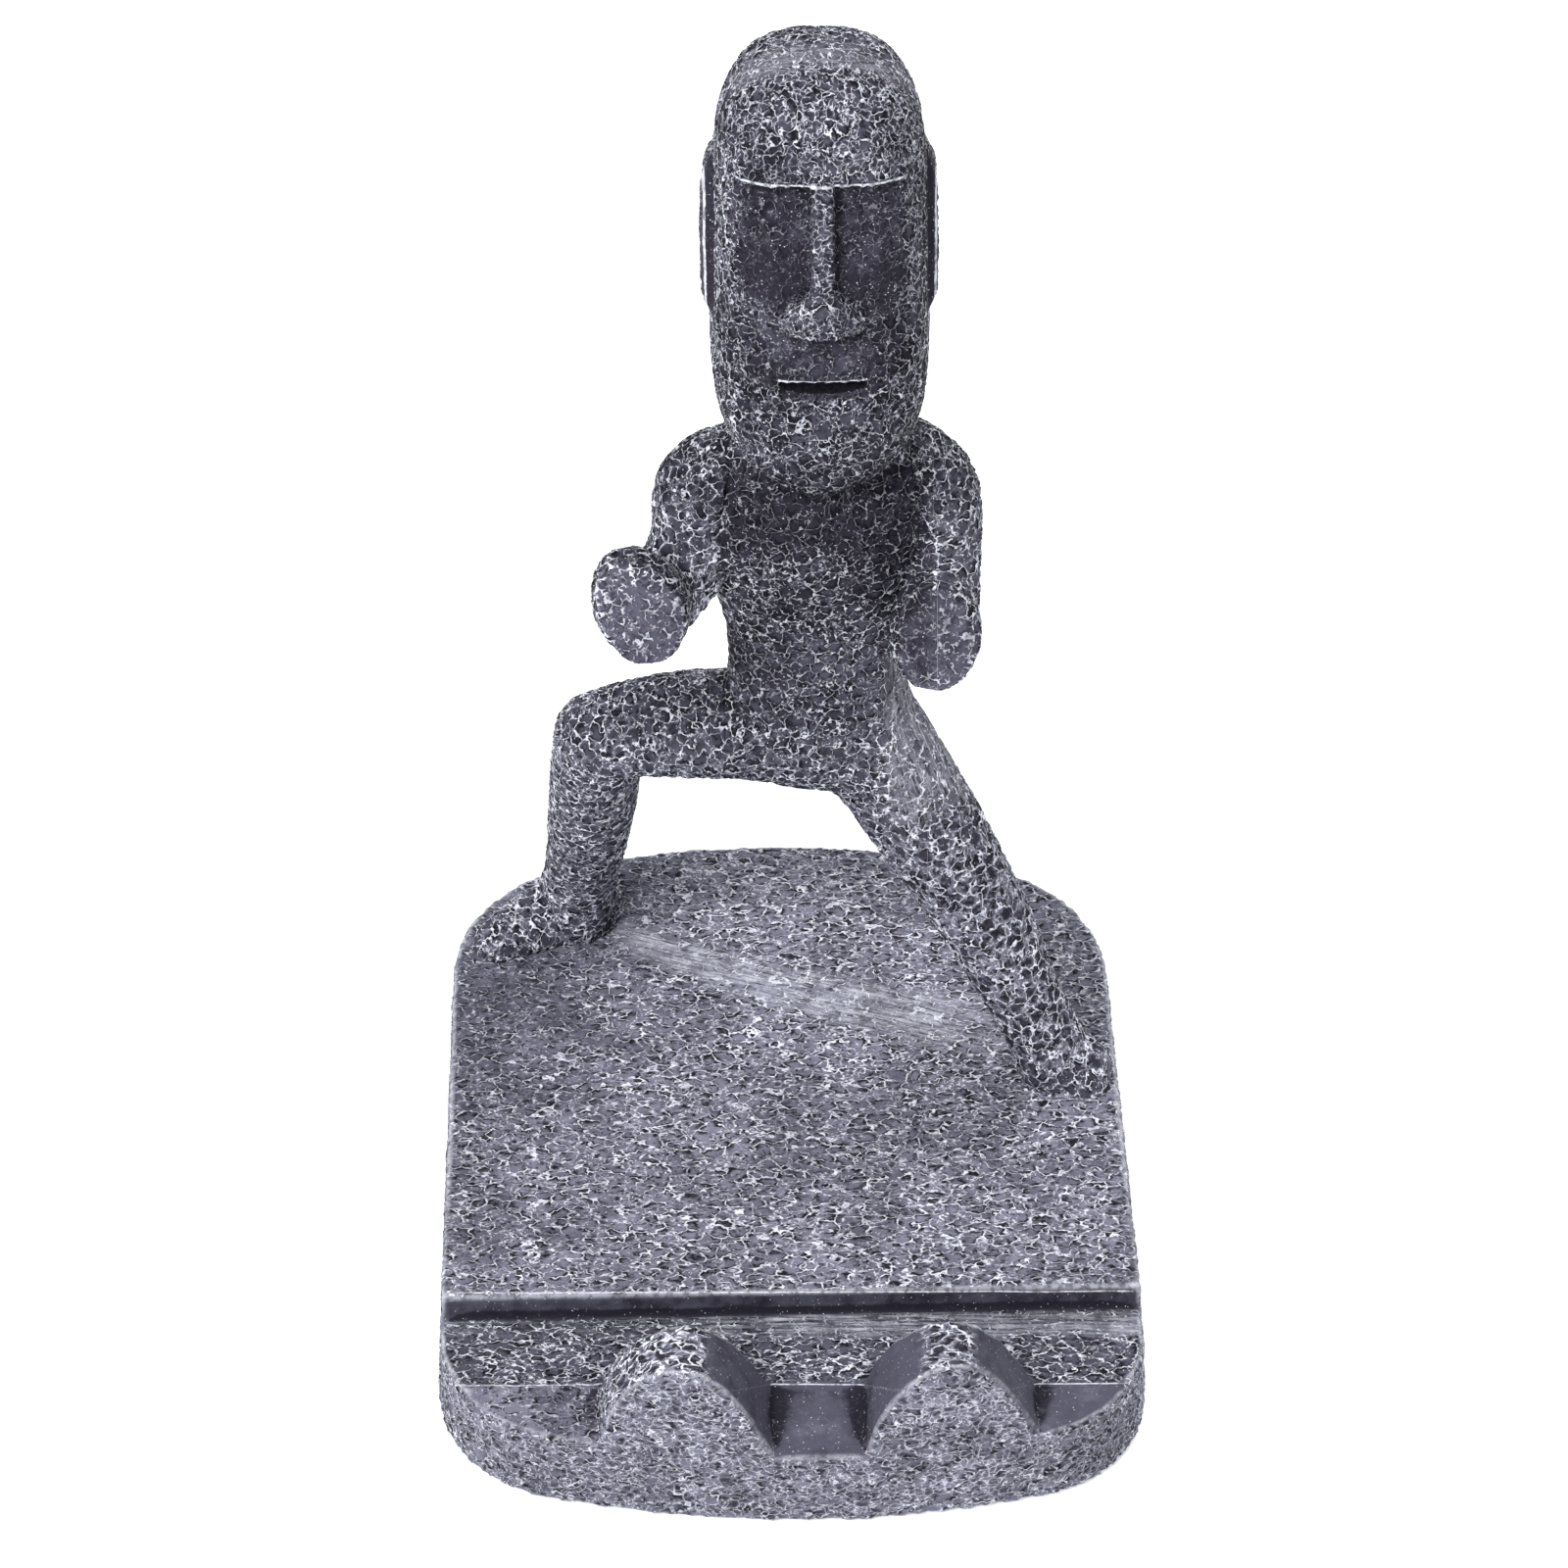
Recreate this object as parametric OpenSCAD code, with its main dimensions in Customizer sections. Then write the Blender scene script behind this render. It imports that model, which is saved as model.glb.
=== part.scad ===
// Desk phone stand: a stone-look statue in a wide fighting stance on a rounded slab.
// The phone stands in the trough behind two lugs and leans back on the two fists.
// Left and right are the statue's own: it faces -Y, so its right side is on -X.

/* [Slab] */
// Width of the slab at the floor
slab_w = 85.4; // [80:1:95]
// Length of the slab, front to back
slab_l = 104; // [98:1:110]
// Height of the deck that the statue stands on
deck_z = 15; // [14:0.5:18]
// How much each side of the slab leans in per millimetre of height
draft = 0.055; // [0:0.005:0.08]
// How much narrower the hand-cut slab gets towards the back, per millimetre of length
taper = 0.00015; // [0:0.00005:0.0003]
// How far the hand-cut slab is out of square, lengthwise per millimetre of width
skew = 0.02; // [0:0.005:0.03]

/* [Phone seat] */
// Depth of the seat that the phone's lower edge stands on
seat_depth = 12.2; // [11:0.2:14]
// Depth of the sill in front of the seat, under the lugs
sill_depth = 11.4; // [10:0.2:13]
// Height of the seat's front edge
seat_z = 12; // [11.5:0.1:12.5]
// How far the seat falls towards the deck wall
seat_fall = 1.1; // [0:0.1:1.5]
// Height of the step from the sill up to the seat's front edge
sill_step = 0.5; // [0.2:0.1:0.8]
// Height of the sill at the slab's front edge
sill_z = 11.2; // [11:0.1:11.5]
// Width of a lug at its foot
lug_w = 20.4; // [18:0.2:21]
// Height of a lug above the seat's front edge
lug_h = 12; // [9:0.2:13]
// Width of the cable gap between the lugs
gap_w = 11.1; // [10:0.1:13]
// Middle of the cable gap across the slab
gap_x = 2.8; // [0:0.1:3]
// How far the crest of a lug stands back from its foot, on the front and on the seat side
lug_lean = 1.3; // [0:0.1:2]

/* [Statue] */
// Middle of the statue across the slab
statue_x = 4.5; // [4:0.1:5]
// Middle of the statue along the slab
statue_y = 21.8; // [21:0.1:23]
// Backward tilt of the head
head_tilt = 10; // [6:1:12]
// Height of the head along its own axis
head_h = 52.4; // [50:0.5:54]
// Width of the head without its ears
head_w = 23.8; // [23:0.1:24.5]
// Height of the neck joint
neck_z = 108; // [107:0.5:108.5]

/* [Pins and pads] */
// Diameter of the neck and hip pins
big_pin_d = 4; // [3:0.5:4]
// Diameter of the shoulder and foot pins
small_pin_d = 3; // [2:0.5:3]
// Diameter of a foot pad
pad_d = 12; // [8:1:14]
// Thickness of a foot pad
pad_t = 1.5; // [1:0.1:2]
// How far a foot pad stands out of the slab
pad_out = 0.5; // [0.3:0.1:1]

/* [Hidden] */
$fn = 48;
big = 400;

// Slab outline: two broad end arcs, two straight sides and four corner arcs
front_r = 120;
back_r = 95;
front_corner_r = 17;
back_corner_r = 21;
front_y = -slab_l / 2;
back_y = slab_l / 2;
seat_y = front_y + sill_depth;
wall_y = seat_y + seat_depth;
lug_top = seat_z + lug_h;
lug_x = (gap_w + lug_w) / 2;

// Shoulders, hips and feet
shoulder_dx = 12.6;
shoulder_z = 97.5;
shoulder_rise = 0.4;
hip_dx = 11.4;
hip_z = 61.8;
bent_foot = [-28.1, 36.5, deck_z];
straight_foot = [34.8, 9.1, deck_z];
straight_hip = [statue_x + 4.9, statue_y, 62.5];
straight_dir = unit([straight_foot.x, straight_foot.y, deck_z] - straight_hip);
straight_cut = straight_hip + 7 * straight_dir;

// Each shoulder joint leans in from the armpit to the top of the shoulder
function shoulder(side) = [statue_x + side * shoulder_dx, statue_y, shoulder_z];
function shoulder_dir(side) = unit([side, 0, 0.22]);

// Foot of the head's own axis, and how far back the chin hangs free in front of the chest
head_z = 103.8;
chest_y = statue_y - 7.2;

// Lengths of the locating pins, half in each piece
neck_pin_l = 16;
shoulder_pin_l = 10;
hip_pin_l = 12;
foot_pin_l = 14;
pad_places = [for (x = [-30, 30], y = [-32, 32]) [x, y]];

stone = [0.37, 0.36, 0.42];
light_stone = [0.52, 0.53, 0.59];
steel = [0.7, 0.7, 0.72];
rubber_black = [0.1, 0.1, 0.1];

// ---- Curves ----

function unit(v) = v / norm(v);

// Power that keeps the sign, for superellipses
function spow(v, e) = sign(v) * pow(abs(v), e);

// Catmull-Rom value between b and c
function between(a, b, c, d, t) =
    0.5 * (2 * b + (c - a) * t + (2 * a - 5 * b + 4 * c - d) * t * t + (3 * b - a - 3 * c + d) * t * t * t);

// Smooth list through the stations s, with n steps from one to the next
function through(s, n) =
    let (m = len(s) - 1)
    [for (i = [0 : m - 1], k = [0 : n - 1])
        between(s[max(i - 1, 0)], s[i], s[i + 1], s[min(i + 2, m)], k / n), s[m]];

// Points of an arc, both ends included
function arc(c, r, a0, a1, n) = [for (k = [0 : n]) c + r * [cos(a0 + (a1 - a0) * k / n), sin(a0 + (a1 - a0) * k / n)]];

// How far the centre of an end arc of radius r lies behind that of a corner arc of radius cr
function corner_rise(r, cr, half) = sqrt(pow(r - cr, 2) - pow(half - cr, 2));

// Slab outline, moved inwards by inset
function outline(inset) =
    let (
        half = slab_w / 2,
        fc = [half - front_corner_r, front_y + front_r - corner_rise(front_r, front_corner_r, half)],
        bc = [half - back_corner_r, back_y - back_r + corner_rise(back_r, back_corner_r, half)],
        fa = atan2(fc.x, front_y + front_r - fc.y),
        ba = atan2(bc.x, bc.y - back_y + back_r)
    )
    [for (p = concat(
        arc([0, front_y + front_r], front_r - inset, -90 - fa, -90 + fa, 24),
        arc(fc, front_corner_r - inset, -90 + fa + 4, 0, 10),
        arc(bc, back_corner_r - inset, 0, 90 - ba - 4, 12),
        arc([0, back_y - back_r], back_r - inset, 90 - ba, 90 + ba, 24),
        arc([-bc.x, bc.y], back_corner_r - inset, 90 + ba + 4, 180, 12),
        arc([-fc.x, fc.y], front_corner_r - inset, 180, 270 - fa - 4, 10)
    )) [p.x * (1 - taper * p.y), p.y - skew * p.x]];

// ---- Solids from rings ----

// Closed solid through rings with equal point counts, listed anticlockwise about the path
module loft(rings) {
    n = len(rings[0]);
    m = len(rings);
    polyhedron(
        points = [for (ring = rings, p = ring) p],
        faces = concat(
            [[for (k = [0 : n - 1]) k]],
            [for (i = [0 : m - 2], k = [0 : n - 1])
                [i * n + k, (i + 1) * n + k, (i + 1) * n + (k + 1) % n, i * n + (k + 1) % n]],
            [[for (k = [n - 1 : -1 : 0]) (m - 1) * n + k]]
        ),
        convexity = 6
    );
}

// Ring of n points round p, square to dir: half width a across, half width b towards ref
function ring(p, dir, ref, a, b, n) =
    let (side = unit(cross(ref, dir)), up = cross(dir, side))
    [for (k = [0 : n - 1]) p + a * cos(360 * k / n) * side + b * sin(360 * k / n) * up];

// Limb through stations [x, y, z, a, b], with rounded ends
module limb(stations, ref = [0, 1, 0], n = 28, steps = 5) {
    path = through(stations, steps);
    m = len(path) - 1;
    at = [for (s = path) [s[0], s[1], s[2]]];
    dir = [for (i = [0 : m]) unit(at[min(i + 1, m)] - at[max(i - 1, 0)])];
    caps = [70, 45, 20];
    start = [for (c = caps) ring(at[0] - path[0][4] * sin(c) * dir[0], dir[0], ref,
        path[0][3] * cos(c), path[0][4] * cos(c), n)];
    end = [for (c = [20, 45, 70]) ring(at[m] + path[m][4] * sin(c) * dir[m], dir[m], ref,
        path[m][3] * cos(c), path[m][4] * cos(c), n)];
    body = [for (i = [0 : m]) ring(at[i], dir[i], ref, path[i][3], path[i][4], n)];
    loft(concat(start, body, end));
}

// Everything on one side of the plane through p, square to dir
module half_space(p, dir) {
    d = unit(dir);
    translate(p)
        rotate([0, acos(d.z), atan2(d.y, d.x)])
            translate([-big / 2, -big / 2, 0])
                cube([big, big, big]);
}

module below_deck() {
    translate([-big / 2, -big / 2, deck_z - big])
        cube([big, big, big]);
}

// Pin of diameter d and length l, centred on p and lying along dir
module pin(p, dir, d, l) {
    v = unit(dir);
    translate(p)
        rotate([0, acos(v.z), atan2(v.y, v.x)])
            cylinder(d = d, h = l, center = true);
}

// ---- Pins and pads ----

module neck_pin_shape() {
    pin([statue_x, statue_y, neck_z], [0, 0, 1], big_pin_d, neck_pin_l);
}

module shoulder_pin_shapes() {
    for (s = [-1, 1])
        pin(shoulder(s), shoulder_dir(s), small_pin_d, shoulder_pin_l);
}

module hip_pin_shapes() {
    pin([statue_x - hip_dx, statue_y, hip_z], [1, 0, 0], big_pin_d, hip_pin_l);
    pin(straight_cut, straight_dir, big_pin_d, hip_pin_l);
}

module foot_pin_shapes() {
    for (p = [bent_foot, straight_foot])
        pin(p, [0, 0, 1], small_pin_d, foot_pin_l);
}

// The pads stand half in pockets of their own size
module pad_shapes() {
    for (p = pad_places)
        translate([p.x, p.y, 0])
            cylinder(d = pad_d, h = pad_t);
}

// ---- Slab ----

// Lug outline in X and height: round on top, with a bulging -X flank and a straighter +X flank
function lug_outline() =
    [for (k = [0 : 28])
        let (t = -1 + 2 * k / 28)
        [lug_w / 2 * t, lug_h * pow(1 - pow(abs(t), 2.2), t < 0 ? 0.72 : 1.08)]];

module lug(x) {
    intersection() {
        translate([x, seat_y, seat_z])
            rotate([90, 0, 0])
                linear_extrude(height = sill_depth + 2)
                    polygon(concat(lug_outline(), [[lug_w / 2, -2], [-lug_w / 2, -2]]));
        half_space([0, seat_y, seat_z], [0, -lug_h, -lug_lean]);
    }
}

// Slab cut to its outline, with the lugs' front faces leaning back above the deck
module slab_block() {
    walls = [[pad_out, draft * pad_out], [deck_z, draft * deck_z], [lug_top + 1, draft * deck_z + lug_lean]];
    loft([for (w = walls) [for (p = outline(w[1])) [p.x, p.y, w[0]]]]);
}

module slab_profile() {
    rotate([90, 0, 90])
        linear_extrude(height = slab_w + 4, center = true)
            polygon([
                [front_y - 2, 0], [back_y + 2, 0], [back_y + 2, deck_z], [wall_y, deck_z],
                [wall_y, seat_z - seat_fall], [seat_y, seat_z], [seat_y, seat_z - sill_step],
                [front_y - 2, sill_z]
            ]);
}

module base_slab() {
    color(light_stone)
        difference() {
            intersection() {
                slab_block();
                union() {
                    slab_profile();
                    lug(gap_x - lug_x);
                    lug(gap_x + lug_x);
                }
            }
            foot_pin_shapes();
            pad_shapes();
        }
}

module foot_pads() {
    color(rubber_black) pad_shapes();
}

// ---- Trunk ----

trunk_stations = [
    // height, middle x, middle y, half width, half depth
    [54, 1.0, 0.5, 4.0, 3.0],
    [56.2, 0.4, 0.3, 8.0, 5.6],
    [59, -0.2, 0, 10.8, 7.0],
    [64, 0, 0, 11.5, 7.4],
    [70, -0.2, 0, 10.7, 6.9],
    [76, -0.2, 0, 10.5, 6.4],
    [82, -0.1, 0, 11.5, 6.8],
    [88, 0, -0.2, 13.0, 7.6],
    [94, 0, -0.3, 14.2, 8.2],
    [99, 0, 0, 14.6, 8.0],
    [103, 0, 0.4, 14.2, 7.2],
    [106, 0, 0.8, 12.9, 6.6],
    [108, 0, 0.8, 11.0, 6.2],
    [109.2, 0, 0.8, 9.0, 6.0]
];

module trunk() {
    n = 40;
    path = through(trunk_stations, 3);
    loft([for (s = path)
        [for (k = [0 : n - 1])
            [statue_x + s[1] + s[3] * spow(cos(360 * k / n), 0.86),
                statue_y + s[2] + s[4] * spow(sin(360 * k / n), 0.86), s[0]]]]);
}

module torso() {
    color(stone)
        difference() {
            union() {
                difference() {
                    trunk();
                    half_space(shoulder(-1), shoulder_dir(-1));
                    half_space(shoulder(1), shoulder_dir(1));
                }
                intersection() {
                    bent_thigh();
                    translate([statue_x - hip_dx, -big / 2, 0])
                        cube([hip_dx, big, big]);
                }
                difference() {
                    straight_tube();
                    half_space(straight_cut, straight_dir);
                }
            }
            half_space([0, 0, neck_z], [0, 0, 1]);
            neck_pin_shape();
            shoulder_pin_shapes();
            hip_pin_shapes();
        }
}

// ---- Arms ----

// Upper arm from the shoulder to the elbow, then the forearm with its swollen fist
module arm_tubes(side, elbow, fist, roll) {
    arm_x = statue_x - 0.4;
    mid = elbow + 0.5 * (fist - elbow);
    wrist = elbow + 0.86 * (fist - elbow);
    limb([
        [arm_x + side * 9.8, statue_y, shoulder_z + 3.2 + side * shoulder_rise, 6.8, 6.8],
        [arm_x + side * 13.2, statue_y - 0.3, shoulder_z + 1.3, 6.0, 6.2],
        [arm_x + side * 14.3, statue_y - 1.8, shoulder_z - 5.2, 5.3, 5.4],
        [elbow.x, elbow.y, elbow.z, 4.8, 4.9]
    ]);
    limb([
        [elbow.x, elbow.y, elbow.z, 4.7, 4.8],
        [mid.x, mid.y, mid.z, 4.9, 5.6],
        [wrist.x, wrist.y, wrist.z, 5.3, 7.0],
        [fist.x, fist.y, fist.z, 4.4, 6.1]
    ], ref = [roll, 0, 1]);
}

// Arm outside the shoulder joint and the trunk, with the fist cut flat where a phone leans
module arm(side, elbow, fist, roll) {
    color(stone)
        difference() {
            arm_tubes(side, elbow, fist, roll);
            intersection() {
                half_space(shoulder(side), -shoulder_dir(side));
                trunk();
            }
            intersection() {
                half_space(shoulder(side), -shoulder_dir(side));
                translate([-big / 2, chest_y, shoulder_z - 1.5])
                    cube([big, big, big]);
            }
            half_space(fist, lean_dir);
            shoulder_pin_shapes();
        }
}

// Direction square to the back of a leaning phone
lean_dir = unit([0, -1, 0.42]);
right_elbow = [-14.5, 16, 87.2];
right_fist = [-17.2, 4.1, 96.2];
left_elbow = [18.3, 15.5, 84];
left_fist = [17.3, 2.7, 92.7];

module right_arm() { arm(-1, right_elbow, right_fist, -0.4); }
module left_arm() { arm(1, left_elbow, left_fist, 0); }

// ---- Legs ----

knee = [-22.3, 22.8, 60];
bent_ankle = [-25.3, 36, 25];

module bent_thigh() {
    limb([
        [statue_x - 6, statue_y, hip_z + 0.4, 6.8, 7.0],
        [statue_x - 15, statue_y, hip_z + 0.7, 6.5, 6.6],
        [statue_x - 22, statue_y + 0.3, hip_z - 0.2, 5.9, 6.0],
        [knee.x, knee.y, knee.z, 5.3, 5.5]
    ]);
}

module bent_leg() {
    color(stone)
        difference() {
            union() {
                bent_thigh();
                limb([
                    [knee.x, knee.y, knee.z, 5.3, 5.5],
                    [-23.2, 27, 47, 5.4, 5.6],
                    [-24.3, 32, 34.5, 4.9, 4.9],
                    [bent_ankle.x, bent_ankle.y, bent_ankle.z, 4.6, 4.8],
                    [bent_foot.x + 1.6, bent_foot.y + 1.6, deck_z + 1, 5.4, 5.6]
                ]);
                limb([
                    [bent_foot.x + 3.6, bent_foot.y + 2.2, deck_z + 1.6, 4.4, 4.4],
                    [bent_foot.x - 3, bent_foot.y - 0.8, deck_z + 1.6, 4.2, 4.2],
                    [bent_foot.x - 8, bent_foot.y - 3.6, deck_z + 0.4, 3.2, 3.4]
                ], ref = [0, 0, 1]);
            }
            half_space([statue_x - hip_dx, 0, hip_z], [1, 0, 0.00001]);
            below_deck();
            hip_pin_shapes();
            foot_pin_shapes();
        }
}

module straight_tube() {
    d = straight_dir;
    h = straight_hip;
    limb([
        for (s = [[-3, 7.3], [8, 7.0], [22, 6.2], [36, 5.2], [46, 4.5], [54, 4.8]])
            [h.x + s[0] * d.x + 1.4 * sin(180 * s[0] / 54), h.y + s[0] * d.y, h.z + s[0] * d.z, s[1], s[1] + 0.3]
    ]);
}

module straight_leg() {
    color(stone)
        difference() {
            union() {
                intersection() {
                    straight_tube();
                    half_space(straight_cut, straight_dir);
                }
                limb([
                    [straight_foot.x - 1.5, straight_foot.y + 1.5, deck_z + 1.6, 4.2, 4.2],
                    [straight_foot.x + 2.5, straight_foot.y - 1, deck_z + 0.8, 4.0, 4.0],
                    [straight_foot.x + 3.2, straight_foot.y - 2.6, deck_z + 0.2, 3.2, 3.2]
                ], ref = [0, 0, 1]);
            }
            below_deck();
            hip_pin_shapes();
            foot_pin_shapes();
        }
}

// ---- Head ----

// Sections of the head along its axis: height, half width, front and back reach
head_sections = [
    [0, 2.0, 8.6, 1],
    [0.5, 3.8, 9.8, 2],
    [2.0, 6.6, 11.4, 4],
    [4.5, 9.6, 12.4, 6.5],
    [7.9, 11.4, 12.8, 9],
    [12, 12.2, 12.8, 11.2],
    [17, 12.4, 12.7, 12.4],
    [26, 12.2, 12.5, 13],
    [36, 12.0, 12.2, 13],
    [41, 11.7, 11.9, 12.8],
    [44.5, 11.0, 11.0, 12.0],
    [47.5, 9.7, 9.4, 10.6],
    [49.8, 7.8, 7.2, 8.6],
    [51.4, 5.0, 4.4, 5.6],
    [52, 2.0, 1.8, 2.4]
];

module skull() {
    n = 56;
    path = through(head_sections, 3);
    loft([for (s = path)
        [for (k = [0 : n - 1])
            let (c = cos(360 * k / n), q = sin(360 * k / n))
            [s[1] * spow(c, 0.62), (q < 0 ? s[2] : s[3]) * spow(q, 0.72), s[0] * head_h / 52]]]);
}

brow_z = 40.8;
nose_z = 23;
mouth_z = 17;

module eye_hollow(side) {
    // Wedge that is deepest under the brow and runs out on the cheek
    rotate([90, 0, 90])
        translate([0, 0, side > 0 ? 0.9 : -9.6])
            linear_extrude(height = 8.7)
                polygon([[-16, brow_z], [-9.6, brow_z - 0.6], [-12.9, nose_z + 3.5], [-16, nose_z]]);
}

// Narrow ridge down from the brow, then a tip that flares into the nostrils
module nose() {
    flare_z = nose_z + 4.6;
    hull() {
        translate([-1, -12.4, brow_z - 1]) cube([2, 4, 1]);
        translate([-1.2, -15.2, flare_z - 1]) cube([2.4, 6, 1]);
    }
    hull() {
        translate([-1.2, -15.2, flare_z - 1]) cube([2.4, 5, 1]);
        translate([-1.4, -16.2, nose_z + 0.4]) cube([2.8, 5, 1.4]);
        for (s = [-1, 1])
            translate([s * 3.5, -13, nose_z + 1.2]) sphere(r = 1.3, $fn = 24);
    }
}

// Sections of an ear: height, reach beyond the head's side, middle y, half depth
ear_sections = [
    [20.3, 0.3, 0.2, 2.4],
    [20.7, 1.1, 0.2, 3.0],
    [22, 1.5, 0.3, 3.4],
    [28, 1.55, 0.5, 3.8],
    [34, 1.45, 0.5, 3.8],
    [37.2, 1.15, 0.4, 3.5],
    [39.2, 0.6, 0.2, 2.7],
    [40, 0.1, 0, 1.8]
];

module ear(side) {
    n = 20;
    root = 1.2;
    loft([for (s = ear_sections)
        [for (k = [0 : n - 1])
            [side * (head_w / 2 + (s[1] - root) / 2) + (s[1] + root) / 2 * spow(cos(360 * k / n), 0.5),
                s[2] + s[3] * spow(sin(360 * k / n), 0.5), s[0]]]]);
}

module head_shape() {
    translate([statue_x, statue_y, head_z])
        rotate([-head_tilt, 0, 0])
            difference() {
                union() {
                    difference() {
                        skull();
                        eye_hollow(-1);
                        eye_hollow(1);
                    }
                    nose();
                    ear(-1);
                    ear(1);
                }
                translate([-5.4, -16, mouth_z - 0.35]) cube([10.8, 4.6, 0.7]);
            }
}

module head() {
    color(stone)
        difference() {
            union() {
                head_shape();
                translate([statue_x, statue_y + 0.4, neck_z - 1])
                    cylinder(r1 = 7.4, r2 = 7.0, h = 12);
            }
            translate([-big / 2, chest_y, neck_z - big])
                cube([big, big, big]);
            neck_pin_shape();
        }
}

module neck_pin() { color(steel) neck_pin_shape(); }
module shoulder_pins() { color(steel) shoulder_pin_shapes(); }
module hip_pins() { color(steel) hip_pin_shapes(); }
module foot_pins() { color(steel) foot_pin_shapes(); }

base_slab();
torso();
head();
right_arm();
left_arm();
bent_leg();
straight_leg();
neck_pin();
shoulder_pins();
hip_pins();
foot_pins();
foot_pads();
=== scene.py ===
"""Phone stand with a carved-head statue: cast stone look, painted dark and dry-brushed light.

The castings are built from the frame's own CAD solids: melted together, remeshed into even quads,
softened, given their cellular relief and cut apart again at the joints.
"""
import math
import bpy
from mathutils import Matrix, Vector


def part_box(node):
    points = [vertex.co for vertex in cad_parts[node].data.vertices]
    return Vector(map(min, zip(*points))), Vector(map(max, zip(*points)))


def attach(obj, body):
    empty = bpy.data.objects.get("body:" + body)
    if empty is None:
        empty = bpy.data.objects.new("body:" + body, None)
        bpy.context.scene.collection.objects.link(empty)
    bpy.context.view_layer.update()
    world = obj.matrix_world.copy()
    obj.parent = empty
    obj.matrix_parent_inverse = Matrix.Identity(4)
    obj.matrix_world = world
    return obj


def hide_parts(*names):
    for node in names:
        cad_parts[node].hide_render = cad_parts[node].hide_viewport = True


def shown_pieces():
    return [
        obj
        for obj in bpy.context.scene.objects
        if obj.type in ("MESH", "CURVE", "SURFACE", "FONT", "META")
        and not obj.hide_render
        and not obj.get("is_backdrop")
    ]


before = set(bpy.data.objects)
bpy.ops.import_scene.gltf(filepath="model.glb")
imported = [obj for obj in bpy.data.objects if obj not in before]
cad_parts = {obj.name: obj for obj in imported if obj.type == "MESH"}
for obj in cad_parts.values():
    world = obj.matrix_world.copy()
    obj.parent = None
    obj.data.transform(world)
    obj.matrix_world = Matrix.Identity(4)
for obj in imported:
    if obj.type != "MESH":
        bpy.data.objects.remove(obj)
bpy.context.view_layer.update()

from types import SimpleNamespace

import bmesh
import bpy
import numpy as np
from mathutils import Vector
from mathutils.bvhtree import BVHTree

MM = 0.001
STATUE = ["torso", "head", "right_arm", "left_arm", "bent_leg", "straight_leg"]
PINS = ["neck_pin", "shoulder_pins", "hip_pins", "foot_pins"]

# Size of the even quads, in millimetres
STATUE_VOXEL = 0.32
SLAB_VOXEL = 0.42

# Camera: where it looks, from which side, how far away and with which lens
LOOK_AT = (0.00177, 0.07996, 0.0)
VIEW_AZIMUTH = -1.4
VIEW_ELEVATION = 42.0
VIEW_DISTANCE = 0.7515
LENS_MM = 125.7

# Places on the slab, in millimetres; the seat runs slightly askew
DECK_Z = 15.0
SILL_Z = 12.0
SEAT_Y = -40.6
WALL_Y = -28.4
SEAT_SKEW = 0.02
GAP_X = 2.8
LEFT_LUG_X = GAP_X - 15.75

# The head's own axis starts at its foot and leans back; heights are measured along it
HEAD_TILT = math.radians(10.0)
HEAD_FOOT_Z = 103.8
BROW_HEIGHT = 40.2
EAR_HEIGHT = 30.0
NOSE_HEIGHT = 23.0
MOUTH_HEIGHT = 16.1
MOUTH_HALF = 5.1

# Cells of the relief in a millimetre
LARGE_CELLS = 0.62
SMALL_CELLS = 1.15

# Distance at which a painted line can't be seen any more, in millimetres
OUT_OF_REACH = 3

# Colours, from painted shadow deep in pits, through painted shade and slate paint, to the driest
# brush
PIT_SHADOW = (0.006, 0.0055, 0.008, 1.0)
DARK = (0.022, 0.020, 0.031, 1.0)
SLATE = (0.086, 0.083, 0.116, 1.0)
MIDDLE = (0.225, 0.225, 0.295, 1.0)
LIGHT = (0.88, 0.90, 1.0, 1.0)

scene = bpy.context.scene


# ---- Meshes as arrays ----

def evaluated(obj):
    """A new mesh of the object with its modifiers applied."""
    bpy.context.view_layer.update()
    graph = bpy.context.evaluated_depsgraph_get()
    return bpy.data.meshes.new_from_object(obj.evaluated_get(graph))


def positions(mesh):
    co = np.empty(len(mesh.vertices) * 3, np.float32)
    mesh.vertices.foreach_get("co", co)
    return co.reshape(-1, 3).astype(float)


def normals(mesh):
    no = np.empty(len(mesh.vertices) * 3, np.float32)
    mesh.vertex_normals.foreach_get("vector", no)
    return no.reshape(-1, 3).astype(float)


def set_positions(mesh, co):
    mesh.vertices.foreach_set("co", co.astype(np.float32).ravel())
    mesh.update()


def edge_ends(mesh):
    ends = np.empty(len(mesh.edges) * 2, np.int32)
    mesh.edges.foreach_get("vertices", ends)
    ends = ends.reshape(-1, 2)
    return np.concatenate([ends, ends[:, ::-1]])


def relaxed(co, ends, rounds, weight):
    """Vertices moved towards the mean of their neighbours, each by its own weight."""
    n = len(co)
    count = np.maximum(np.bincount(ends[:, 0], minlength=n), 1)[:, None]
    for _ in range(rounds):
        total = np.stack([np.bincount(ends[:, 0], co[ends[:, 1], k], n) for k in range(3)], 1)
        co = co + weight[:, None] * (total / count - co)
    return co


def step(x, low, high):
    """Smooth step from 0 at low to 1 at high."""
    t = np.clip((x - low) / (high - low), 0, 1)
    return t * t * (3 - 2 * t)


def near(value, middle, reach, soft):
    """1 within reach of middle, falling to 0 over soft."""
    return 1 - step(np.abs(value - middle), reach, reach + soft)


# ---- Castings ----

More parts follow.
